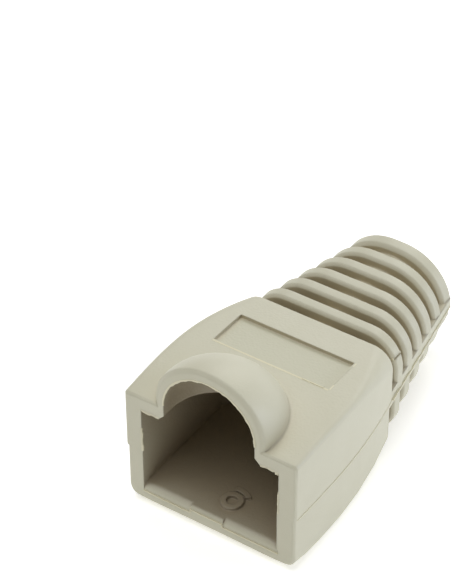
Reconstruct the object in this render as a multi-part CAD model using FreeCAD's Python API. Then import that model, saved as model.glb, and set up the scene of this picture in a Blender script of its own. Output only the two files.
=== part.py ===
"""RJ45 strain relief boot: one moulded piece of soft PVC.

Frame: +X to the right when looking into the mouth, +Y from the mouth to the
cable end, +Z up.  The origin is under the middle of the boot, on the surface
that it rests on.  Lengths are in millimetres.
"""
import os
import math

import FreeCAD
import Part

V = FreeCAD.Vector

# ---------------------------------------------------------------- main sizes
length = 26.8            # mouth to the end of the cable ring
body_length = 14.8       # mouth to the first slot
mouth_width = 14.6       # outer width at the mouth
belly_width = 14.8       # outer width at the widest place
body_end_width = 12.9    # outer width where the slotted tail starts
mouth_bottom = 0.45      # the bottom edge of the mouth stands clear of the table
mouth_top = 10.62        # top face at the mouth
crown_top = 10.86        # top face at its highest place
crown_place = 5.2        # distance of the highest and widest place from the mouth
body_end_top = 10.15     # top face at the first slot
body_end_bottom = 0.95   # bottom face at the first slot
rest_start = 3.5         # the bottom is flat from here
rest_end = 6.5           # to here
parting_height = 5.37    # where the two mould halves meet
mould_mismatch = 0.12    # the upper half is this much wider on each side
front_step = 0.05        # the lower half's front face lies this far back

# --------------------------------------------------------------------- edges
mouth_top_round = 0.30   # long top edges, at the mouth
crown_round = 0.36       # long top edges at the widest place
belly_round = 0.90       # long bottom edges
body_end_round = 1.80    # long top edges at the first slot
mouth_edge = 0.18        # outer edge of the mouth
rear_edge = 0.24         # rear edge of the body

# -------------------------------------------------------------------- cavity
plug_width = 11.8        # takes a standard 8-way plug body
cavity_bottom = 1.92
cavity_top = 9.42
cavity_length = 10.4     # straight part
passage_end = 14.4       # where the passage has closed down to the bore
lip_round = 0.60         # inner edge of the bottom lip
gate_left = -1.74        # the mould's gate left a sharper stretch of lip
gate_right = 1.08
gate_round = 0.30
flash_reach = 0.14       # flash on the right post's inner edge, lower mould half
flash_depth = 0.35

# ---------------------------------------------------------------------- tail
ring_radius = 4.60       # half width at the cable end
ring_half_height = 4.43  # the ring is a little flattened
rib_top_round = 2.40     # corners of the first rib, upper half
rib_bottom_round = 1.60  # and lower half
bore_radius = 3.43       # cable hole
core_wall = 0.36         # tube that stays at the bottom of the slots
slot_count = 6
slot_width = 0.78
ring_thickness = 1.42    # cable ring, from the last slot to the end
spine_height = 1.74      # strip that joins the ribs on each side
spine_reach = 0.60       # the strips run this far into the body
spine_proud = 0.04       # and stand this far out from the ribs
rib_edge = 0.22          # edges of the ribs
ring_edge = 0.28         # edges of the cable ring
edge_share = 0.45        # an edge takes at most this share of its rib's thickness
nick_width = 0.14        # the mould's insert left a nick in the first rib's corners
nick_depth = 0.30
nick_turn = 25.0         # degrees above the parting plane, seen from the bore

# ---------------------------------------------------------------------- hood
hood_half_width = 4.82   # the latch hood is part of a leaning egg shape
hood_half_length = 5.67
hood_half_height = 4.25
hood_lean = -34.4        # degrees; its long axis dips towards the cable
hood_middle = 1.57       # distance of its middle from the mouth
hood_axis = 10.89        # height of its middle
hood_wall = 0.71         # at the sides of the arch
hood_top_wall = 0.88     # at the crest of the arch
hood_edge = 0.22         # edge of the arch
pocket_length = 4.9      # the hollow under the hood reaches this far in
pocket_foot = 0.40       # slope where the hollow meets the cavity's ceiling

# ------------------------------------------------- mould mark, cavity floor
mark_x = 0.58            # a plain raised ring with a short arc beside it
mark_distance = 2.07
mark_radius = 0.88
mark_line = 0.44
mark_height = 0.26
mark_arc_radius = 1.46
mark_arc_turn = 65.0     # degrees
mark_arc_start = 45.0    # turned from the side

# --------------------------------------------------------------------- label
label_width = 10.0
label_length = 3.7
label_start = 8.04       # distance from the mouth
label_depth = 0.28       # below the line between its two long edges

# ------------------------------------------------------------- derived sizes
half_length = length / 2.0
slotted = length - body_length - ring_thickness
slot_pitch = (slotted - slot_width) / (slot_count - 1)
rib_thickness = slot_pitch - slot_width
core_radius = bore_radius + core_wall
big = 4.0 * length       # cutting blocks reach past everything
overlap = 0.3            # cutters and fused pieces run this far into each other
upper_stations = 7       # outlines in the upper loft
lower_stations = 3       # outlines behind the flat in the lower loft
corner_limit = 0.985     # a corner takes at most this share of the half height
corner_growth = 0.8      # the tail's corners open up fastest near the body
tiny = 1e-3              # two places this close count as one


def at(distance):
    """Turn a distance from the mouth into a Y position."""
    return distance - half_length


def outline(distance, half_width, height, corner_round):
    """Edge wire of one mould half across the boot, flat on the parting plane.

    The half reaches from the parting plane to a height above or below it.
    """
    y = at(distance)
    w = half_width
    r = corner_round
    side = math.copysign(1.0, height - parting_height)
    c = height - side * r
    s = r * math.sqrt(0.5)
    right = Part.Arc(V(w, y, c), V(w - r + s, y, c + side * s), V(w - r, y, height))
    left = Part.Arc(V(r - w, y, height), V(r - w - s, y, c + side * s), V(-w, y, c))
    edges = [Part.makeLine(V(w, y, parting_height), V(w, y, c)), right.toShape(),
             Part.makeLine(V(w - r, y, height), V(r - w, y, height)), left.toShape(),
             Part.makeLine(V(-w, y, c), V(-w, y, parting_height)),
             Part.makeLine(V(-w, y, parting_height), V(w, y, parting_height))]
    return Part.Wire(edges)


def mix(a, b, t):
    """Straight blend of two sizes."""
    return a + (b - a) * t


def swell(distance, mouth, widest, end, first, last):
    """Size that swells from the mouth, holds, and falls off to the body's end."""
    if distance < first:
        return widest + (mouth - widest) * ((first - distance) / first) ** 2
    if distance > last:
        share = (distance - last) / (body_length - last)
        return widest + (end - widest) * share ** 2
    return widest


def body_half_width(distance):
    """Half width of the body at one distance from the mouth."""
    return swell(distance, mouth_width / 2.0, belly_width / 2.0, body_end_width / 2.0,
                 crown_place, crown_place)


def top_height(distance):
    """Height of the body's top face at one distance from the mouth."""
    return swell(distance, mouth_top, crown_top, body_end_top, crown_place, crown_place)


def upper_body(widen):
    """Upper half of the body: a smooth loft over the crowned top."""
    wires = []
    for k in range(upper_stations):
        d = body_length * k / (upper_stations - 1)
        top = top_height(d)
        corner = swell(d, mouth_top_round, crown_round, body_end_round,
                       crown_place, crown_place)
        wires.append(outline(d, body_half_width(d) + widen, top, corner))
    return Part.makeLoft(wires, True, False)


def lower_outline(distance, widen):
    """Edge wire of the body's lower half at one distance from the mouth."""
    bottom = swell(distance, mouth_bottom, 0.0, body_end_bottom, rest_start, rest_end)
    return outline(distance, body_half_width(distance) + widen, bottom, belly_round)


def lower_body(widen):
    """Lower half of the body: two lofts, and the flat it rests on between them."""
    flat_wire = lower_outline(rest_start, widen)
    flat = Part.Face(flat_wire).extrude(V(0, rest_end - rest_start, 0))
    flat_wire_end = flat_wire.translated(V(0, rest_end - rest_start, 0))
    front = [lower_outline(front_step, widen),
             lower_outline(rest_start / 2.0, widen), flat_wire]
    rear = [flat_wire_end]
    for k in range(lower_stations):
        share = (k + 1.0) / lower_stations
        rear.append(lower_outline(mix(rest_end, body_length, share), widen))
    front = Part.makeLoft(front, True, True)
    rear = Part.makeLoft(rear, True, True)
    return flat.multiFuse([front, rear])


def end_edges(shape, distance):
    """Edges of a mould half that lie in the plane across it at a distance."""
    found = []
    for e in shape.Edges:
        b = e.BoundBox
        level = b.ZLength < tiny and abs(b.ZMin - parting_height) < tiny
        across = b.YLength < tiny and abs(b.YMin - at(distance)) < tiny
        if across and not level:
            found.append(e)
    return found


def tail_half_width(distance):
    """Half width of the slotted tail at one distance from the mouth."""
    t = (distance - body_length) / (length - body_length)
    return mix(body_end_width / 2.0, ring_radius, t)


def rib(distance, thickness, edge, widen, side):
    """One mould half of a rib, or of the cable ring, across the tail."""
    middle = distance + 0.5 * thickness
    t = (middle - body_length) / (length - body_length)
    if side > 0:
        height = mix(body_end_top, parting_height + ring_half_height, t)
        corner = mix(rib_top_round, ring_radius, t ** corner_growth)
    else:
        height = mix(body_end_bottom, parting_height - ring_half_height, t)
        corner = mix(rib_bottom_round, ring_radius, t ** corner_growth)
    corner = min(corner, corner_limit * abs(height - parting_height))
    wire = outline(distance, tail_half_width(middle) + widen, height, corner)
    solid = Part.Face(wire).extrude(V(0, thickness, 0))
    edges = end_edges(solid, distance) + end_edges(solid, distance + thickness)
    return solid.makeChamfer(min(edge, edge_share * thickness), edges)


def spines(widen, side):
    """One mould half of the strips that join the ribs along both sides."""
    first = at(body_length - spine_reach)
    last = at(length - ring_edge)
    w1 = tail_half_width(body_length) + spine_proud + widen
    w2 = tail_half_width(length - ring_edge) + spine_proud + widen
    z = parting_height
    plan = Part.makePolygon([V(-w1, first, z), V(w1, first, z), V(w2, last, z),
                             V(-w2, last, z), V(-w1, first, z)])
    return Part.Face(plan).extrude(V(0, 0, side * spine_height / 2.0))


def mould_half(side):
    """Pieces of the outer form above (side 1) or below (side -1) the parting."""
    widen = side * mould_mismatch / 2.0
    body = upper_body(widen) if side > 0 else lower_body(widen)
    front = 0.0 if side > 0 else front_step
    body = body.makeChamfer(mouth_edge, end_edges(body, front))
    body = body.makeChamfer(rear_edge, end_edges(body, body_length))
    pieces = [body, spines(widen, side)]
    for k in range(slot_count - 1):
        start = body_length + slot_width + k * slot_pitch
        pieces.append(rib(start, rib_thickness, rib_edge, widen, side))
    pieces.append(rib(length - ring_thickness, ring_thickness, ring_edge, widen, side))
    return pieces


def outer_form():
    """Both mould halves and the tube that stays at the bottom of the slots."""
    core = Part.makeCylinder(core_radius, length - body_length,
                             V(0, at(body_length - spine_reach), parting_height),
                             V(0, 1, 0))
    return core.multiFuse(mould_half(1) + mould_half(-1))


def egg():
    """Leaning egg shape that the hood is the upper front part of."""
    ball = Part.makeSphere(1.0)
    m = FreeCAD.Matrix()
    m.scale(hood_half_width, hood_half_length, hood_half_height)
    shape = ball.transformGeometry(m)
    shape.rotate(V(0, 0, 0), V(1, 0, 0), hood_lean)
    shape.translate(V(0, at(hood_middle), hood_axis))
    return shape


def arch():
    """Half width and top of the hood's arch in the plane of the mouth."""
    a = math.radians(hood_lean)
    long_end = hood_half_length * math.cos(a)
    short_end = hood_half_height * math.sin(a)
    reach = math.hypot(long_end, short_end)
    share = math.sqrt(1.0 - (hood_middle / reach) ** 2)
    tilt = (hood_half_height ** 2 - hood_half_length ** 2) * math.sin(a) * math.cos(a)
    middle = hood_axis + hood_middle * tilt / reach ** 2
    half_height = share * hood_half_length * hood_half_height / reach
    return share * hood_half_width, middle + half_height


def rectangle(distance, half_width, bottom, top):
    """Rectangular wire across the boot at a distance from the mouth."""
    y = at(distance)
    return Part.makePolygon([V(-half_width, y, bottom), V(half_width, y, bottom),
                             V(half_width, y, top), V(-half_width, y, top),
                             V(-half_width, y, bottom)])


def lip(left, right, radius):
    """Cutter that rounds the inner edge of the bottom lip between two places."""
    y = at(front_step)
    z = cavity_bottom
    back = radius * (1.0 - math.sqrt(0.5))
    arc = Part.Arc(V(left, y, z - radius), V(left, y + back, z - back),
                   V(left, y + radius, z))
    rim = Part.makePolygon([V(left, y + radius, z), V(left, y + radius, z + overlap),
                            V(left, at(-overlap), z + overlap),
                            V(left, at(-overlap), z - radius), V(left, y, z - radius)])
    wire = Part.Wire([arc.toShape()] + rim.Edges)
    return Part.Face(wire).extrude(V(right - left, 0, 0))


def cavity():
    """Plug cavity, its rounded lip, the passage and the bore."""
    w = plug_width / 2.0
    r = bore_radius
    box = Part.makeBox(2.0 * w, cavity_length + overlap, cavity_top - cavity_bottom,
                       V(-w, at(-overlap), cavity_bottom))
    passage = Part.makeLoft([rectangle(cavity_length, w, cavity_bottom, cavity_top),
                             rectangle(passage_end, r, parting_height - r,
                                       parting_height + r)], True, True)
    bore = Part.makeCylinder(r, length - passage_end + 2.0 * overlap,
                             V(0, at(passage_end - overlap), parting_height),
                             V(0, 1, 0))
    lips = [lip(-w, gate_left, lip_round), lip(gate_left, gate_right, gate_round),
            lip(gate_right, w, lip_round)]
    return box.multiFuse([passage, bore] + lips)


def flash():
    """Thin flash on the right post's inner edge, below the parting plane."""
    return Part.makeBox(flash_reach + overlap, flash_depth,
                        parting_height - cavity_bottom + overlap,
                        V(plug_width / 2.0 - flash_reach, at(front_step),
                          cavity_bottom - overlap))


def latch_pocket():
    """Hollow of the hood, open down into the plug cavity, with sloped feet."""
    half_width, top = arch()
    r = half_width - hood_wall
    z = top - hood_top_wall - r
    depth = pocket_length - r
    reach = depth + overlap
    front = at(-overlap)
    low = cavity_top
    vault = Part.makeCylinder(r, reach, V(0, front, z), V(0, 1, 0))
    vault = vault.fuse(Part.makeSphere(r, V(0, at(depth), z)))
    above = Part.makeBox(big, big, big, V(-big / 2.0, -big / 2.0, z))
    gate = Part.makeBox(2.0 * r, reach, z - low + overlap, V(-r, front, low - overlap))
    end = Part.makeCylinder(r, z - low + overlap, V(0, at(depth), low - overlap))
    wide = r + pocket_foot
    slope = Part.makePolygon([V(-wide, front, low), V(wide, front, low),
                              V(r, front, low + pocket_foot),
                              V(-r, front, low + pocket_foot), V(-wide, front, low)])
    feet = Part.Face(slope).extrude(V(0, reach, 0))
    back = Part.makeCone(wide, r, pocket_foot, V(0, at(depth), low))
    return vault.common(above).multiFuse([gate, end, feet, back])


def mould_mark():
    """Raised ring and arc that the mould leaves on the cavity floor."""
    up = V(0, 0, 1)
    foot = V(mark_x, at(mark_distance), cavity_bottom - overlap)
    tall = mark_height + overlap
    ring = Part.makeCylinder(mark_radius, tall, foot, up)
    ring = ring.cut(Part.makeCylinder(mark_radius - mark_line, tall, foot, up))
    arc = Part.makeCylinder(mark_arc_radius, tall, foot, up, mark_arc_turn)
    arc = arc.cut(Part.makeCylinder(mark_arc_radius - mark_line, tall, foot, up))
    arc.rotate(foot, up, mark_arc_start)
    return ring, arc


def label_recess():
    """Cutter for the sunk label panel, sloped as the top face is there."""
    near = top_height(label_start)
    far = top_height(label_start + label_length)
    block = Part.makeBox(label_width, label_length, label_depth + overlap,
                         V(-label_width / 2.0, at(label_start), near - label_depth))
    slope = math.degrees(math.atan2(far - near, label_length))
    block.rotate(V(0, at(label_start), near), V(1, 0, 0), slope)
    return block


def nicks():
    """Cutters for the nicks in the upper corners of the first rib."""
    start = body_length + slot_width
    middle = start + 0.5 * rib_thickness
    t = (middle - body_length) / (length - body_length)
    w = tail_half_width(middle)
    top = mix(body_end_top, parting_height + ring_half_height, t)
    corner = mix(rib_top_round, ring_radius, t ** corner_growth)
    turn = math.radians(nick_turn)
    x = w - corner + corner * math.cos(turn)
    z = top - corner + corner * math.sin(turn)
    found = []
    for sign in (1.0, -1.0):
        block = Part.makeBox(2.0 * nick_depth, rib_thickness, nick_width,
                             V(-nick_depth, at(start), -0.5 * nick_width))
        block.rotate(V(0, 0, 0), V(0, 1, 0), -nick_turn)
        block.translate(V(x, 0, z))
        if sign < 0:
            block = block.mirror(V(0, 0, 0), V(1, 0, 0))
        found.append(block)
    return found


def build():
    """The whole boot."""
    shell = outer_form()
    above = Part.makeBox(big, big, big, V(-big / 2.0, at(0.0), cavity_top + overlap))
    hood = egg().common(above)
    rim = []
    for e in hood.Edges:
        b = e.BoundBox
        if b.YLength < tiny and b.ZLength > tiny:
            rim.append(e)
    hood = hood.makeChamfer(hood_edge, rim)
    shell = shell.fuse(hood)
    shell = shell.cut(cavity())
    shell = shell.cut(latch_pocket())
    shell = shell.cut(label_recess())
    shell = shell.cut(nicks())
    shell = shell.multiFuse([flash()] + list(mould_mark()))
    return shell


boot = build()
if len(boot.Solids) == 1:
    boot = boot.Solids[0]
os.makedirs("parts", exist_ok=True)
boot.exportStep("parts/boot.step")
print("boot", boot.ShapeType, "valid", boot.isValid(), "volume", round(boot.Volume, 2),
      "faces", len(boot.Faces), "box", boot.BoundBox)
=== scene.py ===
"""Studio scene of an RJ45 strain relief boot moulded in soft grey-beige PVC.

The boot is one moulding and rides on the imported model's only body, "root".
Lengths in the classes below are in millimetres unless a field says otherwise.
"""

import logging
import math
from dataclasses import dataclass, field
from enum import Enum
from functools import reduce
from typing import Any, Callable, Dict, Optional, Sequence, Tuple

import bmesh
import bpy
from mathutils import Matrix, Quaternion, Vector, noise


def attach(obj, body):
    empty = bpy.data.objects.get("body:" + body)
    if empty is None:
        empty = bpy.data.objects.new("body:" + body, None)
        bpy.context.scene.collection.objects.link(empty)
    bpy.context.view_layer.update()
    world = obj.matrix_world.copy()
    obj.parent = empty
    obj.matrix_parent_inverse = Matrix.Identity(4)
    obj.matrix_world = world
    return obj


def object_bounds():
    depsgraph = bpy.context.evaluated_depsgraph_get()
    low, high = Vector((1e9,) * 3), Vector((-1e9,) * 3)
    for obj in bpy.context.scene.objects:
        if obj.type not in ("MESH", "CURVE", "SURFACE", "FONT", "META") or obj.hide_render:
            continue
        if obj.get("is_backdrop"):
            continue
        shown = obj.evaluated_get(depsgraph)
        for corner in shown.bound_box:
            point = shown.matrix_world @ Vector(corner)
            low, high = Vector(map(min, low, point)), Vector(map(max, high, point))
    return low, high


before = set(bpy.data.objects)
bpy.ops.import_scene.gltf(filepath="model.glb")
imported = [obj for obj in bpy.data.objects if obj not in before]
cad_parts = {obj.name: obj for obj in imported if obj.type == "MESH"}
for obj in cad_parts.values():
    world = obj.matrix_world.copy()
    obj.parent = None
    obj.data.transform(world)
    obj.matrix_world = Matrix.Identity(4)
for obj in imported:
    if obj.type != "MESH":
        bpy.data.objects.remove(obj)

log = logging.getLogger("boot_scene")

MM = 0.001
Path = Callable[[float], Vector]
Span = Tuple[Optional[float], Optional[float]]


class Ray(Enum):
    """Kinds of ray that see the studio as plain white."""

    CAMERA = "Is Camera Ray"
    GLOSSY = "Is Glossy Ray"


class Blend(Enum):
    """What a mix node blends: its data type, first input and output."""

    NUMBER = ("FLOAT", 2, 0)
    COLOUR = ("RGBA", 6, 2)


class Measure(Enum):
    """What a zone of the boot is bounded in, with the axis that it is read from.

    ASIDE is the distance from the boot's middle plane, the same on both sides.
    """

    ASIDE = "X"
    ALONG = "Y"
    HEIGHT = "Z"


def linear(colour: str) -> Tuple[float, float, float, float]:
    """Turn an sRGB hex colour into linear values.

    Args:
        colour: Six hex digits, with or without a leading hash.

    Returns:
        Red, green, blue and an alpha of 1, all linear.
    """
    digits = colour.lstrip("#")
    values = []
    for k in (0, 2, 4):
        v = int(digits[k : k + 2], 16) / 255.0
        values.append(v / 12.92 if v <= 0.04045 else ((v + 0.055) / 1.055) ** 2.4)
    return values[0], values[1], values[2], 1.0


def add_node(
    tree: bpy.types.NodeTree,
    kind: str,
    settings: Optional[Dict[str, Any]] = None,
    inputs: Optional[Dict[str, Any]] = None,
) -> bpy.types.Node:
    """Add a shader node with its settings, values and links.

    Args:
        tree: The node tree that gets the node.
        kind: The node's type name.
        settings: Attributes to set on the node itself.
        inputs: For each input name, a plain value or the socket to link from.

    Returns:
        The new node.
    """
    made = tree.nodes.new(kind)
    for name, value in (settings or {}).items():
        setattr(made, name, value)
    for name, value in (inputs or {}).items():
        socket = made.inputs[int(name)] if name.isdigit() else made.inputs[name]
        if isinstance(value, bpy.types.NodeSocket):
            tree.links.new(value, socket)
        else:
            socket.default_value = value
    return made


def calculate(
    tree: bpy.types.NodeTree, operation: str, *values: Any
) -> bpy.types.NodeSocket:
    """Work out one number from plain numbers or sockets, in the math node's order."""
    inputs = {str(k): value for k, value in enumerate(values)}
    return add_node(tree, "ShaderNodeMath", {"operation": operation}, inputs).outputs["Value"]


def blend(
    tree: bpy.types.NodeTree, kind: Blend, share: Any, here: Any, there: Any
) -> bpy.types.NodeSocket:
    """Blend two numbers or two colours.

    Args:
        tree: The node tree.
        kind: What is blended.
        share: 0 gives the first one and 1 the second: a number or a socket.
        here: The first one.
        there: The second one.

    Returns:
        The result's socket.
    """
    data_type, first, result = kind.value
    mix = add_node(
        tree,
        "ShaderNodeMix",
        {"data_type": data_type},
        {"0": share, str(first): here, str(first + 1): there},
    )
    return mix.outputs[result]


def zone(
    tree: bpy.types.NodeTree, place: bpy.types.NodeSocket, spans: Dict[Measure, Span]
) -> bpy.types.NodeSocket:
    """Tell the places within some limits from all the others.

    Args:
        tree: The node tree.
        place: Object coordinates.
        spans: For each measure its lower and upper limit, None where it has none.

    Returns:
        A socket that is 1 within all the limits and 0 elsewhere.
    """
    apart = add_node(tree, "ShaderNodeSeparateXYZ", inputs={"Vector": place})
    tests = []
    for measure, (low, high) in spans.items():
        value = apart.outputs[measure.value]
        if measure is Measure.ASIDE:
            value = calculate(tree, "ABSOLUTE", value)
        if low is not None:
            tests.append(calculate(tree, "GREATER_THAN", value, low * MM))
        if high is not None:
            tests.append(calculate(tree, "LESS_THAN", value, high * MM))
    return reduce(lambda one, other: calculate(tree, "MULTIPLY", one, other), tests)


def new_material(name: str) -> Tuple[bpy.types.Material, bpy.types.NodeTree]:
    """Make an empty node material.

    Args:
        name: The material's name.

    Returns:
        The material and its node tree.
    """
    material = bpy.data.materials.new(name)
    material.use_nodes = True
    material.node_tree.nodes.clear()
    return material, material.node_tree


@dataclass(frozen=True)
class MouldedPvc:
    """Plasticised PVC, injection moulded against a spark-eroded tool.

    Seen close, it is an even warm grey with a fine pebbled grain and a satin
    sheen that spreads wide.  Its corners are never quite sharp.  Deep in its
    slots and its cavity and under the hood, shade is painted into its colour:
    darker and browner the less open a place is, over the shade that the lamps
    cast there.

    Attributes:
        name: The material's name.
        colour: Colour of the open faces.
        cloud_colour: The other colour of their faint clouds.
        label_colour: Colour of the label panel's floor.
        deep_colour: Colour of the painted shade deep in the cavity and under the hood.
        slot_colour: Colour of the painted shade deep in the slots.
        deep_reach: How far off other faces still make a place less open, for the painted
            shade.
        deep_samples: Rays that tell how open a place is, for the painted shade.
        deep_range: How open a place inside is where its painted shade is darkest, and where
            it is plain.
        slot_range: The same for a place outside.
        cavity_half_width: Half width of the zone round the plug cavity, which gets the
            cavity's painted shade.
        cavity_top: Height of that zone's top.
        vault_radius: Radius of the hollow under the hood.
        vault_height: Height of its middle.
        vault_bend: Place along the boot where its round end begins.
        label_half_width: Half width of the zone round the label panel's floor.
        label_ends: Where that zone begins and ends along the boot.
        label_bottom: Height of that zone's bottom.
        cloud_size: Size of one cloud.
        cloud_detail: Finer layers of the clouds.
        grain_size: Size of one pebble of the grain.
        grain_height: Height of the grain.
        grain_softness: How much the pebbles run into each other.
        ripple_size: Size of one slow ripple.
        ripple_height: Height of the ripples.
        ripple_detail: Finer layers of the ripples.
        round_samples: Rays that find the edges to be rounded.
        body_round: Radius of the body's edges.
        rib_round: Radius of the ribs' edges.
        rib_start: Place along the boot behind which the tail begins.
        rim_round: Radius of the arch's edges.
        rim_end: Place along the boot up to which an edge is the arch's.
        rim_bottom: Height above which an edge is the arch's.
        foot_round: Radius where the hood runs into the top face.
        foot_heights: Lowest and highest place of that zone.
        foot_ends: Where that zone begins and ends along the boot.
        foot_half_width: Half width of that zone.
        joint_round: Radius of the step at the mould's joint.
        joint_height: Height of the mould's joint.
        joint_reach: Height of the joint's zone above and below it.
        roughness: Roughness of the surface, from 0 to 1.
        ior: Index of refraction.
    """

    name: str = "moulded_soft_pvc"
    colour: str = "#cbc8b3"
    cloud_colour: str = "#c6c3ac"
    label_colour: str = "#c4c2ab"
    deep_colour: str = "#9a8e78"
    slot_colour: str = "#b5aa8e"
    deep_reach: float = 11.0
    deep_samples: int = 16
    deep_range: Tuple[float, float] = (0.46, 1.00)
    slot_range: Tuple[float, float] = (0.15, 1.00)
    cavity_half_width: float = 6.0
    cavity_top: float = 9.6
    vault_radius: float = 3.97
    vault_height: float = 10.87
    vault_bend: float = -12.37
    label_half_width: float = 5.0
    label_ends: Tuple[float, float] = (-5.38, -1.69)
    label_bottom: float = 10.0
    cloud_size: float = 2.6
    cloud_detail: float = 2.0
    grain_size: float = 0.20
    grain_height: float = 0.012
    grain_softness: float = 0.6
    ripple_size: float = 1.3
    ripple_height: float = 0.012
    ripple_detail: float = 1.0
    round_samples: int = 8
    body_round: float = 0.16
    rib_round: float = 0.34
    rib_start: float = 1.3
    rim_round: float = 0.34
    rim_end: float = -12.7
    rim_bottom: float = 10.7
    foot_round: float = 0.45
    foot_heights: Tuple[float, float] = (10.55, 11.6)
    foot_ends: Tuple[float, float] = (-13.0, -6.8)
    foot_half_width: float = 6.2
    joint_round: float = 0.02
    joint_height: float = 5.37
    joint_reach: float = 0.30
    roughness: float = 0.46
    ior: float = 1.50

    def colours(
        self, tree: bpy.types.NodeTree, place: bpy.types.NodeSocket
    ) -> bpy.types.NodeSocket:
        """Cloud the colour a little and paint shade into it in the recesses.

        Args:
            tree: The material's node tree.
            place: Object coordinates.

        Returns:
            The colour socket.
        """
        clouds = add_node(
            tree,
            "ShaderNodeTexNoise",
            inputs={
                "Vector": place,
                "Scale": 1.0 / (self.cloud_size * MM),
                "Detail": self.cloud_detail,
            },
        ).outputs["Fac"]
        plain, cloud, label = map(linear, (self.colour, self.cloud_colour, self.label_colour))
        outside = blend(tree, Blend.COLOUR, clouds, plain, cloud)
        outside = blend(tree, Blend.COLOUR, self.on_label(tree, place), outside, label)
        # Painted shade: how open a place is, from the moulding's own ambient occlusion,
        # darkens and browns the colour in the slots, the cavity and under the hood.
        openness = add_node(
            tree,
            "ShaderNodeAmbientOcclusion",
            {"samples": self.deep_samples, "only_local": True},
            {"Distance": self.deep_reach * MM},
        )
        inside = self.inside(tree, place)
        low, high = (
            blend(tree, Blend.NUMBER, inside, of_slot, of_cavity)
            for of_slot, of_cavity in zip(self.slot_range, self.deep_range)
        )
        share = add_node(
            tree,
            "ShaderNodeMapRange",
            {"interpolation_type": "SMOOTHSTEP"},
            {"Value": openness.outputs["AO"], "From Min": low, "From Max": high},
        ).outputs["Result"]
        # Colours of the painted shade: one for the slots, one for the cavity and the vault.
        slot, cavity = linear(self.slot_colour), linear(self.deep_colour)
        deep = blend(tree, Blend.COLOUR, inside, slot, cavity)
        return blend(tree, Blend.COLOUR, share, deep, outside)

    def inside(
        self, tree: bpy.types.NodeTree, place: bpy.types.NodeSocket
    ) -> bpy.types.NodeSocket:
        """Tell the plug cavity and the hood's vault from the outside, where the painted shade
        takes the cavity's colour.

        Args:
            tree: The material's node tree.
            place: Object coordinates.

        Returns:
            A socket that is 1 inside them.
        """
        cavity = zone(
            tree,
            place,
            {
                Measure.ASIDE: (None, self.cavity_half_width),
                Measure.HEIGHT: (None, self.cavity_top),
                Measure.ALONG: (None, self.rib_start),
            },
        )
        return calculate(tree, "MAXIMUM", cavity, self.in_vault(tree, place))

    def in_vault(
        self, tree: bpy.types.NodeTree, place: bpy.types.NodeSocket
    ) -> bpy.types.NodeSocket:
        """Tell the hollow under the hood: a barrel vault with a round end.

        A place in front of the bend counts as at the bend, and one below the
        middle as at the middle's height, so the vault is a barrel that is open
        to the front and below.

        Args:
            tree: The material's node tree.
            place: Object coordinates.

        Returns:
            A socket that is 1 inside it.
        """
        far_left = -1.0  # metres, beyond the boot, so that X stays as it is
        bend, height = self.vault_bend * MM, self.vault_height * MM
        held = add_node(
            tree,
            "ShaderNodeVectorMath",
            {"operation": "MAXIMUM"},
            {"0": place, "1": (far_left, bend, height)},
        ).outputs["Vector"]
        away = add_node(
            tree,
            "ShaderNodeVectorMath",
            {"operation": "DISTANCE"},
            {"0": held, "1": (0.0, bend, height)},
        ).outputs["Value"]
        return calculate(tree, "LESS_THAN", away, self.vault_radius * MM)

    def on_label(
        self, tree: bpy.types.NodeTree, place: bpy.types.NodeSocket
    ) -> bpy.types.NodeSocket:
        """Tell the floor of the sunk label panel from the rest.

        Args:
            tree: The material's node tree.
            place: Object coordinates.

        Returns:
            A socket that is 1 on the panel.
        """
        spans = {
            Measure.ALONG: self.label_ends,
            Measure.ASIDE: (None, self.label_half_width),
            Measure.HEIGHT: (self.label_bottom, None),
        }
        return zone(tree, place, spans)

    def on_foot(
        self, tree: bpy.types.NodeTree, place: bpy.types.NodeSocket
    ) -> bpy.types.NodeSocket:
        """Tell where the hood runs into the top face.

        Args:
            tree: The material's node tree.
            place: Object coordinates.

        Returns:
            A socket that is 1 there.
        """
        outside = calculate(tree, "SUBTRACT", 1.0, self.in_vault(tree, place))
        foot = zone(
            tree,
            place,
            {
                Measure.ASIDE: (None, self.foot_half_width),
                Measure.HEIGHT: self.foot_heights,
                Measure.ALONG: self.foot_ends,
            },
        )
        return calculate(tree, "MULTIPLY", outside, foot)

    def rounded(
        self, tree: bpy.types.NodeTree, place: bpy.types.NodeSocket
    ) -> bpy.types.NodeSocket:
        """Round the edges: ribs, arch and hood's foot more, the mould joint least.

        Args:
            tree: The material's node tree.
            place: Object coordinates.

        Returns:
            The normal socket.
        """
        apart = add_node(tree, "ShaderNodeSeparateXYZ", inputs={"Vector": place})
        joint, reach = self.joint_height * MM, self.joint_reach * MM
        at_joint = calculate(tree, "COMPARE", apart.outputs["Z"], joint, reach)
        on_tail = zone(tree, place, {Measure.ALONG: (self.rib_start, None)})
        on_rim = zone(
            tree,
            place,
            {Measure.ALONG: (None, self.rim_end), Measure.HEIGHT: (self.rim_bottom, None)},
        )
        radius: Any = self.body_round * MM
        for share, there in (
            (at_joint, self.joint_round),
            (self.on_foot(tree, place), self.foot_round),
            (on_rim, self.rim_round),
            (on_tail, self.rib_round),
        ):
            radius = blend(tree, Blend.NUMBER, share, radius, there * MM)
        return add_node(
            tree, "ShaderNodeBevel", {"samples": self.round_samples}, {"Radius": radius}
        ).outputs["Normal"]

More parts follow.
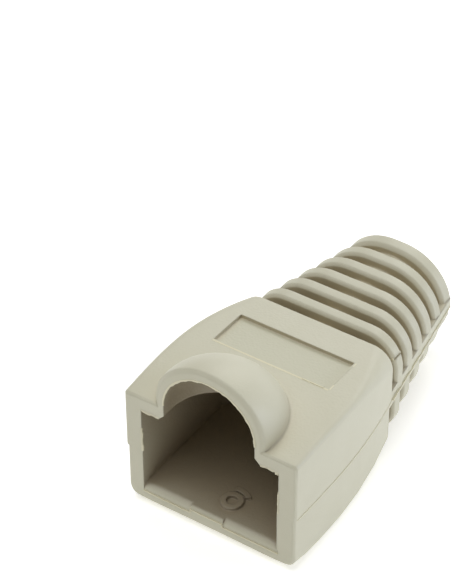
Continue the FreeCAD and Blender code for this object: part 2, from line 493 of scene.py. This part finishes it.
    def textured(
        self,
        tree: bpy.types.NodeTree,
        place: bpy.types.NodeSocket,
        normal: bpy.types.NodeSocket,
    ) -> bpy.types.NodeSocket:
        """Lay slow ripples and the pebbled grain over a normal.

        Args:
            tree: The material's node tree.
            place: Object coordinates.
            normal: The smooth normal.

        Returns:
            The normal socket with both.
        """
        ripple = add_node(
            tree,
            "ShaderNodeTexNoise",
            inputs={
                "Vector": place,
                "Scale": 1.0 / (self.ripple_size * MM),
                "Detail": self.ripple_detail,
            },
        ).outputs["Fac"]
        grain = add_node(
            tree,
            "ShaderNodeTexVoronoi",
            {"feature": "SMOOTH_F1"},
            {
                "Vector": place,
                "Scale": 1.0 / (self.grain_size * MM),
                "Smoothness": self.grain_softness,
            },
        ).outputs["Distance"]
        for relief, height in ((ripple, self.ripple_height), (grain, self.grain_height)):
            normal = add_node(
                tree,
                "ShaderNodeBump",
                inputs={"Distance": height * MM, "Height": relief, "Normal": normal},
            ).outputs["Normal"]
        return normal

    def make(self) -> bpy.types.Material:
        """Build the material.

        Returns:
            The finished material, on Object coordinates.
        """
        material, tree = new_material(self.name)
        place = add_node(tree, "ShaderNodeTexCoord").outputs["Object"]
        shader = add_node(
            tree,
            "ShaderNodeBsdfPrincipled",
            inputs={
                "Base Color": self.colours(tree, place),
                "Roughness": self.roughness,
                "IOR": self.ior,
                "Normal": self.textured(tree, place, self.rounded(tree, place)),
            },
        )
        add_node(tree, "ShaderNodeOutputMaterial", inputs={"Surface": shader.outputs["BSDF"]})
        return material


@dataclass(frozen=True)
class LightTable:
    """Matt white acrylic, lit from below as much as from above.

    Attributes:
        name: The material's name.
        colour: Colour of the acrylic.
        glow: Strength of its own light under the boot.
        far_glow: The same far off, where the lamps don't reach.
        fade: Distances from the boot between which the one turns into the other.
    """

    name: str = "light_table"
    colour: str = "#f7f7f5"
    glow: float = 0.47
    far_glow: float = 1.0
    fade: Tuple[float, float] = (150.0, 500.0)

    def make(self) -> bpy.types.Material:
        """Build the material.

        Returns:
            Matt white that gives off light of its own.
        """
        material, tree = new_material(self.name)
        acrylic = add_node(
            tree, "ShaderNodeBsdfDiffuse", inputs={"Color": linear(self.colour)}
        )
        place = add_node(tree, "ShaderNodeTexCoord").outputs["Object"]
        away = add_node(
            tree, "ShaderNodeVectorMath", {"operation": "LENGTH"}, {"0": place}
        ).outputs["Value"]
        strength = add_node(
            tree,
            "ShaderNodeMapRange",
            inputs={
                "Value": away,
                "From Min": self.fade[0] * MM,
                "From Max": self.fade[1] * MM,
                "To Min": self.glow,
                "To Max": self.far_glow,
            },
        )
        light = add_node(
            tree, "ShaderNodeEmission", inputs={"Strength": strength.outputs["Result"]}
        )
        both = add_node(
            tree,
            "ShaderNodeAddShader",
            inputs={"0": acrylic.outputs["BSDF"], "1": light.outputs["Emission"]},
        )
        add_node(
            tree, "ShaderNodeOutputMaterial", inputs={"Surface": both.outputs["Shader"]}
        )
        return material


@dataclass
class Boot:
    """The moulded boot: body, hood and slotted tail in one piece.

    Attributes:
        node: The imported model's node that it is.
        finish: Its material.
    """

    node: str = "boot"
    finish: MouldedPvc = field(default_factory=MouldedPvc)

    def build(self) -> bpy.types.Object:
        """Dress the moulding.

        Returns:
            The moulding's object.
        """
        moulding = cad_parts[self.node]
        moulding.data.materials.clear()
        moulding.data.materials.append(self.finish.make())
        log.info("%s: %d faces, %s", self.node, len(moulding.data.polygons), self.finish.name)
        return moulding


def straight(start: Sequence[float], end: Sequence[float]) -> Path:
    """Path along a straight line between two places in millimetres."""
    first, last = Vector(start), Vector(end)
    return lambda share: first.lerp(last, share)


@dataclass(frozen=True)
class Film:
    """One kind of thin film on the moulding.

    Attributes:
        reach: How far it stands out.
        thickness: How thick it is.
        raggedness: Share of the reach that comes and goes.
    """

    reach: float
    thickness: float
    raggedness: float = 1.0


@dataclass
class MouldFlash:
    """Thin ragged films that were squeezed out along the joints of the mould, and
    pale flat sheets on the label panel's near and right edge that are painted
    highlights of their rounding.

    Attributes:
        finish: The films' material: paler, and without rounded edges; on the label panel's
            sheets the paleness is painted highlight.
        front: Place of the mouth's plane along the boot.
        lower_front: The same for the lower mould half.
        joint_height: Height of the joint between the two mould halves.
        body_end: Place of the body's rear end.
        tail_end: Place of the cable end.
        body_half_widths: At the mouth, at the widest place, at the body's end.
        widest_place: Place of the widest section.
        tail_half_width: Half width of the tail at the cable end.
        arch_radius: Inner radius of the hood's arch.
        arch_height: Height of the arch's middle.
        cavity_half_width: Half width of the plug cavity.
        ceiling: Height of the cavity's ceiling.
        lip: Height of the bottom lip's front edge.
        gate_lip: The same where the mould's gate was.
        gate: Where the gate's stretch begins and ends.
        nick: Where the first rib's nick is: its place across and its height.
        nick_turn: Degrees that the nick leans above the joint.
        nick_ends: Where the nick begins and ends along the boot.
        nick_depth: How deep below that place the nick's film stands.
        label: The label panel's near and far corners on the right.
        side_set: How far behind the mouth the body's side films begin.
        post_set: How far behind the mouth the posts' and the ceiling's films stand.
        post_drop: How far below the ceiling the posts' films end.
        roof_end: Place across where the ceiling's films end.
        tab_set: How far behind the mouth the tab stands.
        tab_ends: Where the tab begins and ends, from the cavity's right wall.
        arch_set: How far behind the mouth the arch's film stands.
        curl_heights: Heights of the curls at the gate's left and right end.
        curl_lean: How far the curls lean back.
        rim_set: How far in front of the panel's near edge its painted highlight sheet stands.
        burr_ends: Where the burr begins and ends, from the panel's right edge.
        side_film: Along the mould's joint on the body.
        spine_film: Along the strips between the ribs.
        post_film: On the mouth's posts.
        roof_film: On the ceiling's front edge, beside the arch.
        tab_film: A longer tab in the mouth's top right corner.
        arch_film: On the inner edge of the arch.
        lip_film: On the bottom lip.
        curl_film: At the ends of the gate's stretch.
        nick_film: In the first rib's nicks.
        rim_film: Along the label panel's near edge: a pale flat sheet that is a painted
            highlight of the edge's rounding.
        edge_film: Along its right edge: a pale flat sheet, a painted highlight as well.
        burr_film: A coarser bit on its near edge.
        root: How deep each film is rooted in the moulding.
        rag: Length of one ragged bit.
        nibbles: How many finer bits there are to a ragged one.
        nibble_share: How deep they cut, as a share of a ragged one.
        stub: Least share of the reach that is left anywhere.
        step: Length of one facet along a film.
    """

    finish: MouldedPvc = MouldedPvc(
        name="thin_pvc_and_painted_highlights",
        colour="#dcd7bc",
        cloud_colour="#d6d0b2",
        grain_height=0.004,
        ripple_height=0.0,
        body_round=0.02,
        foot_round=0.02,
        rib_round=0.02,
        rim_round=0.02,
    )
    front: float = -13.4
    lower_front: float = -13.35
    joint_height: float = 5.37
    body_end: float = 1.4
    tail_end: float = 13.1
    body_half_widths: Tuple[float, float, float] = (7.36, 7.46, 6.51)
    widest_place: float = -8.2
    tail_half_width: float = 4.69
    arch_radius: float = 3.89
    arch_height: float = 10.87
    cavity_half_width: float = 5.9
    ceiling: float = 9.42
    lip: float = 1.34
    gate_lip: float = 1.63
    gate: Tuple[float, float] = (-1.74, 1.08)
    nick: Tuple[float, float] = (5.98, 8.50)
    nick_turn: float = 25.0
    nick_ends: Tuple[float, float] = (2.21, 3.33)
    nick_depth: float = 0.30
    label: Tuple[Vector, Vector] = (Vector((5.0, -5.38, 10.80)), Vector((5.0, -1.68, 10.53)))
    side_set: float = 0.25
    post_set: float = 0.05
    post_drop: float = 1.8
    roof_end: float = 4.35
    tab_set: float = 0.10
    tab_ends: Tuple[float, float] = (0.05, 0.32)
    arch_set: float = 0.035
    curl_heights: Tuple[float, float] = (0.42, 0.34)
    curl_lean: float = 0.12
    rim_set: float = 0.05
    burr_ends: Tuple[float, float] = (2.2, 0.4)
    side_film: Film = Film(0.03, 0.05, 0.4)
    spine_film: Film = Film(0.11, 0.07, 0.4)
    post_film: Film = Film(0.07, 0.10)
    roof_film: Film = Film(0.10, 0.10, 1.2)
    tab_film: Film = Film(0.32, 0.14, 0.3)
    arch_film: Film = Film(0.05, 0.11, 1.6)
    lip_film: Film = Film(0.09, 0.09, 0.35)
    curl_film: Film = Film(0.10, 0.12, 0.3)
    nick_film: Film = Film(0.24, 0.15, 0.1)
    rim_film: Film = Film(0.014, 0.24, 0.2)
    edge_film: Film = Film(0.014, 0.20, 0.2)
    burr_film: Film = Film(0.04, 0.22, 0.5)
    root: float = 0.10
    rag: float = 0.45
    nibbles: float = 3.0
    nibble_share: float = 0.5
    stub: float = 0.1
    step: float = 0.12

    def lay(
        self,
        mesh: bmesh.types.BMesh,
        film: Film,
        path: Path,
        length: float,
        out: Path,
        across: Vector,
    ) -> None:
        """Add one film that stands out from a path, with a ragged free edge.

        Args:
            mesh: The mesh that gets the film.
            film: How far it stands out, how thick and how ragged it is.
            path: The line that it stands on, in millimetres.
            length: Length of that line.
            out: The direction that it stands out in.
            across: The direction of its thickness.
        """
        # A square of edge 1 about the origin: X runs along the path, Y outward.
        made = bmesh.ops.create_grid(
            mesh, x_segments=max(2, int(length / self.step)), y_segments=1, size=0.5
        )
        for vert in made["verts"]:
            share = vert.co.x + 0.5
            free = vert.co.y > 0.0
            place = path(share)
            rag = noise.noise(place / self.rag)
            rag += self.nibble_share * noise.noise(place * self.nibbles / self.rag)
            left = max(self.stub, 1.0 + film.raggedness * rag)
            tall = film.reach * left if free else -self.root
            vert.co = (place + out(share) * tall - across * film.thickness / 2.0) * MM
        faces = list({face for vert in made["verts"] for face in vert.link_faces})
        grown = bmesh.ops.extrude_face_region(mesh, geom=faces, use_keep_orig=True)
        moved = [item for item in grown["geom"] if isinstance(item, bmesh.types.BMVert)]
        bmesh.ops.translate(mesh, vec=across * film.thickness * MM, verts=moved)

    def lay_straight(
        self,
        mesh: bmesh.types.BMesh,
        film: Film,
        ends: Tuple[Sequence[float], Sequence[float]],
        length: float,
        out: Vector,
        across: Vector,
    ) -> None:
        """Add one film along a straight line, as lay does along any path."""
        self.lay(mesh, film, straight(*ends), length, lambda _: out, across)

    def side(self, sign: float) -> Path:
        """Path along the mould joint on one side of the body.

        Args:
            sign: 1 for the right side, -1 for the left one.

        Returns:
            The path, from the mouth to the body's end.
        """
        mouth, widest, end = self.body_half_widths

        def path(share: float) -> Vector:
            """Place on the joint.

            Args:
                share: 0 near the mouth, 1 at the body's end.

            Returns:
                The place, in millimetres.
            """
            run = self.body_end - self.front - self.side_set
            place = self.front + self.side_set + share * run
            if place < self.widest_place:
                part = (self.widest_place - place) / (self.widest_place - self.front)
                half = widest + (mouth - widest) * part**2
            else:
                part = (place - self.widest_place) / (self.body_end - self.widest_place)
                half = widest + (end - widest) * part**2
            return Vector((sign * half, place, self.joint_height))

        return path

    def arch(self, share: float) -> Vector:
        """Place on the inner edge of the hood's arch.

        Args:
            share: 0 at its right foot, 1 at its left foot.

        Returns:
            The place, in millimetres.
        """
        turn = math.pi * share
        return Vector(
            (
                self.arch_radius * math.cos(turn),
                self.front + self.arch_set,
                self.arch_height + self.arch_radius * math.sin(turn),
            )
        )

    @staticmethod
    def inward(share: float) -> Vector:
        """Direction from the arch's inner edge to its middle, at a share of the arch."""
        turn = math.pi * share
        return Vector((-math.cos(turn), 0.0, -math.sin(turn)))

    def on_sides(self, mesh: bmesh.types.BMesh) -> None:
        """Lay the films along the mould's joint, on the body and between the ribs.

        Args:
            mesh: The mesh that gets them.
        """
        up = Vector((0, 0, 1))
        body = self.body_end - self.front
        tail = self.tail_end - self.body_end
        for sign in (1.0, -1.0):
            sideways = Vector((sign, 0, 0))
            self.lay(mesh, self.side_film, self.side(sign), body, lambda _: sideways, up)
            ends = (
                (sign * self.body_half_widths[2], self.body_end, self.joint_height),
                (sign * self.tail_half_width, self.tail_end, self.joint_height),
            )
            self.lay_straight(mesh, self.spine_film, ends, tail, sideways, up)

    def round_mouth(self, mesh: bmesh.types.BMesh) -> None:
        """Lay the films on the posts, the ceiling's front edge and the arch.

        Args:
            mesh: The mesh that gets them.
        """
        down, along = Vector((0, 0, -1)), Vector((0, 1, 0))
        wall, ceiling = self.cavity_half_width, self.ceiling
        set_back = self.front + self.post_set
        low, high = self.joint_height, ceiling - self.post_drop
        for sign in (1.0, -1.0):
            ends = (sign * wall, set_back, low), (sign * wall, set_back, high)
            inner = Vector((-sign, 0, 0))
            self.lay_straight(mesh, self.post_film, ends, high - low, inner, along)
            ends = (sign * wall, set_back, ceiling), (sign * self.roof_end, set_back, ceiling)
            self.lay_straight(mesh, self.roof_film, ends, wall - self.roof_end, down, along)
        first, last = self.tab_ends
        set_back = self.front + self.tab_set
        ends = (wall - first, set_back, ceiling), (wall - last, set_back, ceiling)
        self.lay_straight(mesh, self.tab_film, ends, last - first, down, along)
        half_turn = math.pi * self.arch_radius
        self.lay(mesh, self.arch_film, self.arch, half_turn, self.inward, along)

    def on_lip(self, mesh: bmesh.types.BMesh) -> None:
        """Lay the films on the bottom lip, with a curl at each end of the gate.

        Args:
            mesh: The mesh that gets them.
        """
        right, up, forward = Vector((1, 0, 0)), Vector((0, 0, 1)), Vector((0, -1, 0))
        wall, low = self.cavity_half_width, self.lower_front
        gate_left, gate_right = self.gate
        for start, end, height in (
            (-wall, gate_left, self.lip),
            (gate_left, gate_right, self.gate_lip),
            (gate_right, wall, self.lip),
        ):
            ends = (start, low, height), (end, low, height)
            self.lay_straight(mesh, self.lip_film, ends, end - start, forward, up)
        for place, tall in zip(self.gate, self.curl_heights):
            ends = (place, low, self.lip), (place, low + self.curl_lean, self.lip + tall)
            self.lay_straight(mesh, self.curl_film, ends, tall, forward, right)

    def in_nicks(self, mesh: bmesh.types.BMesh) -> None:
        """Lay the film in the first rib's nick on each side.

        Args:
            mesh: The mesh that gets them.
        """
        along = Vector((0, 1, 0))
        x, height = self.nick
        lean = math.radians(self.nick_turn)
        first, last = self.nick_ends
        for sign in (1.0, -1.0):
            outward = Vector((sign * math.cos(lean), 0.0, math.sin(lean)))
            beside = Vector((-sign * math.sin(lean), 0.0, math.cos(lean)))
            bed = Vector((sign * x, 0.0, height)) - outward * self.nick_depth
            ends = bed + along * first, bed + along * last
            self.lay_straight(mesh, self.nick_film, ends, last - first, outward, beside)

    def round_label(self, mesh: bmesh.types.BMesh) -> None:
        """Lay pale flat sheets along the near and the right edge of the label panel, painted
        highlights of their rounding, and the burr on the near edge.

        Args:
            mesh: The mesh that gets them.
        """
        across, along, up = Vector((1, 0, 0)), Vector((0, 1, 0)), Vector((0, 0, 1))
        near, far = self.label
        right = near.x
        # Pale flat sheets on the panel's near and right edge: painted highlights of the
        # rounded edges.
        ends = (-right, near.y - self.rim_set, near.z), near - along * self.rim_set
        self.lay_straight(mesh, self.rim_film, ends, 2.0 * right, up, along)
        self.lay_straight(mesh, self.edge_film, (near, far), far.y - near.y, up, across)
        first, last = self.burr_ends
        ends = (right - first, near.y, near.z), (right - last, near.y, near.z)
        self.lay_straight(mesh, self.burr_film, ends, first - last, up, along)

    def build(self) -> bpy.types.Object:
        """Make all the films as one object.

        Returns:
            The films' object.
        """
        mesh = bmesh.new()
        self.on_sides(mesh)
        self.round_mouth(mesh)
        self.on_lip(mesh)
        self.in_nicks(mesh)
        self.round_label(mesh)
        bmesh.ops.recalc_face_normals(mesh, faces=mesh.faces)
        data = bpy.data.meshes.new("flash_and_painted_highlights")
        mesh.to_mesh(data)
        mesh.free()
        films = bpy.data.objects.new("flash_and_painted_highlights", data)
        bpy.context.scene.collection.objects.link(films)
        data.materials.append(self.finish.make())
        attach(films, "root")
        log.info("flash_and_painted_highlights: %d faces", len(data.polygons))
        return films


@dataclass
class SoftLamp:
    """A square soft box.

    Attributes:
        name: The lamp's name.
        azimuth: Direction round the boot, in degrees, 0 in front of its mouth.
        elevation: Height of that direction above the ground, in degrees.
        distance: How far it hangs from the boot.
        size: Edge of the square.
        power: Watts.
        tint: Colour of its light.
    """

    name: str
    azimuth: float
    elevation: float
    distance: float
    size: float
    power: float
    tint: str = "#ffffff"

    def build(self, aim: Vector) -> bpy.types.Object:
        """Hang the lamp so that it faces the boot.

        Args:
            aim: The point that it faces, in metres.

        Returns:
            The lamp's object.
        """
        light = bpy.data.lights.new(self.name, "AREA")
        light.shape = "SQUARE"
        light.size = self.size * MM
        light.energy = self.power
        light.color = linear(self.tint)[:3]
        lamp = bpy.data.objects.new(self.name, light)
        bpy.context.scene.collection.objects.link(lamp)
        back = direction(self.azimuth, self.elevation)
        lamp.location = aim + back * self.distance * MM
        lamp.rotation_mode = "QUATERNION"
        lamp.rotation_quaternion = (-back).to_track_quat("-Z", "Y")
        log.info("%s: %.2f W", self.name, self.power)
        return lamp


def direction(azimuth: float, elevation: float) -> Vector:
    """Unit vector from the boot towards a place around it.

    Args:
        azimuth: Degrees round the boot, 0 in front of its mouth, 90 at its right.
        elevation: Degrees above the ground.

    Returns:
        The unit vector.
    """
    a = math.radians(azimuth)
    e = math.radians(elevation)
    return Vector((math.sin(a) * math.cos(e), -math.cos(a) * math.cos(e), math.sin(e)))


@dataclass
class Studio:
    """Light table, soft boxes and the even light of the room.

    Attributes:
        ground_size: Edge of the light table.
        room_level: Strength of the room's light on the boot.
        seen_level: Strength of the room's light to the eye and in reflections.
        room_colour: Colour of the room's light.
        lamps: The soft boxes.
        table: The light table's material.
    """

    ground_size: float = 3000.0
    room_level: float = 0.10
    seen_level: float = 1.0
    room_colour: str = "#ffffff"
    lamps: Sequence[SoftLamp] = (
        SoftLamp("overhead_box", -20.0, 77.0, 420.0, 340.0, 1.06),
        SoftLamp("rear_box", 190.0, 40.0, 420.0, 260.0, 0.60),
        SoftLamp("side_box", 118.0, 10.0, 420.0, 140.0, 0.58, "#e6edff"),
    )
    table: LightTable = field(default_factory=LightTable)

    def ground(self) -> bpy.types.Object:
        """Lay the ground that the boot rests on.

        Returns:
            The ground's object.
        """
        bpy.ops.mesh.primitive_plane_add(size=self.ground_size * MM)
        floor = bpy.context.object
        floor.name = "light_table"
        floor.data.materials.append(self.table.make())
        floor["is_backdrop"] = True
        return floor

    def room(self) -> bpy.types.World:
        """Light the room evenly from all round.

        Returns:
            The world, plain white to the eye and to reflections.
        """
        world = bpy.data.worlds.new("studio_room")
        world.use_nodes = True
        tree = world.node_tree
        tree.nodes.clear()
        looked_at = add_node(tree, "ShaderNodeLightPath")
        seen = calculate(tree, "MAXIMUM", *(looked_at.outputs[ray.value] for ray in Ray))
        level = add_node(
            tree,
            "ShaderNodeMapRange",
            inputs={"Value": seen, "To Min": self.room_level, "To Max": self.seen_level},
        )
        air = add_node(
            tree,
            "ShaderNodeBackground",
            inputs={"Color": linear(self.room_colour), "Strength": level.outputs["Result"]},
        )
        add_node(
            tree, "ShaderNodeOutputWorld", inputs={"Surface": air.outputs["Background"]}
        )
        bpy.context.scene.world = world
        return world

    def build(self, aim: Vector) -> None:
        """Set up the ground, the room and the lamps.

        Args:
            aim: The point that the lamps face, in metres.
        """
        self.ground()
        self.room()
        for lamp in self.lamps:
            lamp.build(aim)
        log.info("studio: %d soft boxes", len(self.lamps))


@dataclass
class Camera:
    """Long lens that looks down into the mouth from its right.

    Attributes:
        lens: Focal length in millimetres.
        sensor: Width of the sensor.
        clip: Nearest and farthest distance that it sees, in metres.
        azimuth: Degrees round the boot, 0 in front of its mouth.
        elevation: Degrees above the ground.
        roll: Turn about the line of sight, in degrees.
        distance: From the lens to the point it aims at.
        aim: The point in the middle of the view.
    """

    lens: float = 150.9
    sensor: float = 36.0
    clip: Tuple[float, float] = (0.01, 10.0)
    azimuth: float = 34.01
    elevation: float = 40.1
    roll: float = -0.37
    distance: float = 192.3
    aim: Tuple[float, float, float] = (-10.72, 4.81, 5.5)

    def build(self) -> bpy.types.Object:
        """Place the camera and make it the scene's own.

        Returns:
            The camera's object.
        """
        data = bpy.data.cameras.new("product_camera")
        data.lens = self.lens
        data.sensor_width = self.sensor
        data.clip_start, data.clip_end = self.clip
        camera = bpy.data.objects.new("product_camera", data)
        bpy.context.scene.collection.objects.link(camera)
        back = direction(self.azimuth, self.elevation)
        level = (-back).to_track_quat("-Z", "Y")
        turn = Quaternion(back, math.radians(self.roll))
        camera.location = Vector(self.aim) * MM + back * self.distance * MM
        camera.rotation_mode = "QUATERNION"
        camera.rotation_quaternion = turn @ level
        bpy.context.scene.camera = camera
        log.info("camera: %.1f mm lens", self.lens)
        return camera


def main() -> None:
    """Build the scene."""
    logging.basicConfig(level=logging.INFO, format="%(name)s: %(message)s")
    cad_box = [list(corner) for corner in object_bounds()]
    Boot().build()
    MouldFlash().build()
    middle = (Vector(cad_box[0]) + Vector(cad_box[1])) / 2.0
    Studio().build(middle)
    Camera().build()
    bpy.context.scene.view_settings.view_transform = "Standard"


if __name__ == "__main__":
    main()
